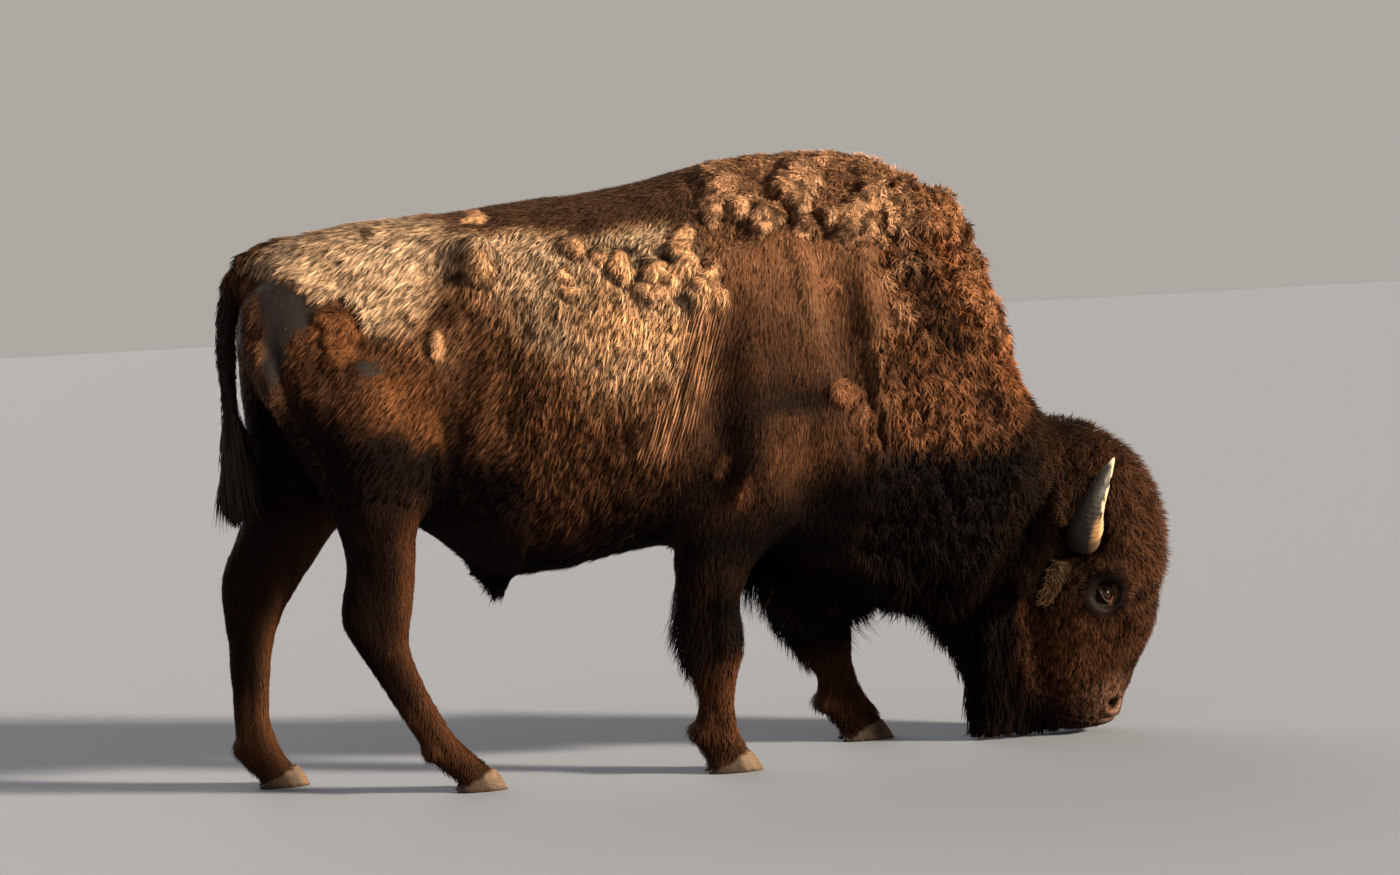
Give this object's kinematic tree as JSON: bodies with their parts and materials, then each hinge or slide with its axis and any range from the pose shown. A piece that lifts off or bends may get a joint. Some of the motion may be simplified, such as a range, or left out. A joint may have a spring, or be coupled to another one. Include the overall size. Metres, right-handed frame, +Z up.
{
  "type": "american bison bull, grazing, still life-size model",
  "caption": "Life-size still model of an american bison bull, head down to graze, in a shedding spring coat.",
  "frame": {"origin": "on the floor, under the middle of the animal's box", "axes": "+X towards the head, along the back; +Y to the animal's left; +Z up"},
  "size_m": [2.7818, 0.7332, 1.7612],
  "materials": {
    "coat": "matt woolly coat, tan to brown, with bare grey skin where the winter wool is shed",
    "dark_coat": "matt blackish brown woolly hair",
    "leg_coat": "short dark brown hair, slightly glossy",
    "horn": "weathered horn, grey-black with a pale worn front edge and tip",
    "hoof": "worn hoof horn, dull brown, dusty",
    "eye": "wet, near black"
  },
  "bodies": {
    "root": {"beard": "dark_coat", "claw_fore_left_left": "hoof", "claw_fore_left_right": "hoof", "claw_fore_right_left": "hoof", "claw_fore_right_right": "hoof", "claw_hind_left_left": "hoof", "claw_hind_left_right": "hoof", "claw_hind_right_left": "hoof", "claw_hind_right_right": "hoof", "dewclaw_fore_left_left": "hoof", "dewclaw_fore_left_right": "hoof", "dewclaw_fore_right_left": "hoof", "dewclaw_fore_right_right": "hoof", "dewclaw_hind_left_left": "hoof", "dewclaw_hind_left_right": "hoof", "dewclaw_hind_right_left": "hoof", "dewclaw_hind_right_right": "hoof", "ear_left": "dark_coat", "ear_right": "dark_coat", "eye_left": "eye", "eye_right": "eye", "head": "dark_coat", "hindquarters": "coat", "horn_left": "horn", "horn_right": "horn", "hump": "coat", "leg_fore_left": "leg_coat", "leg_fore_right": "leg_coat", "leg_hind_left": "leg_coat", "leg_hind_right": "leg_coat", "neck": "coat", "tail_dock": "coat", "tail_tuft": "dark_coat", "trunk": "coat"}
  },
  "joints": []
}
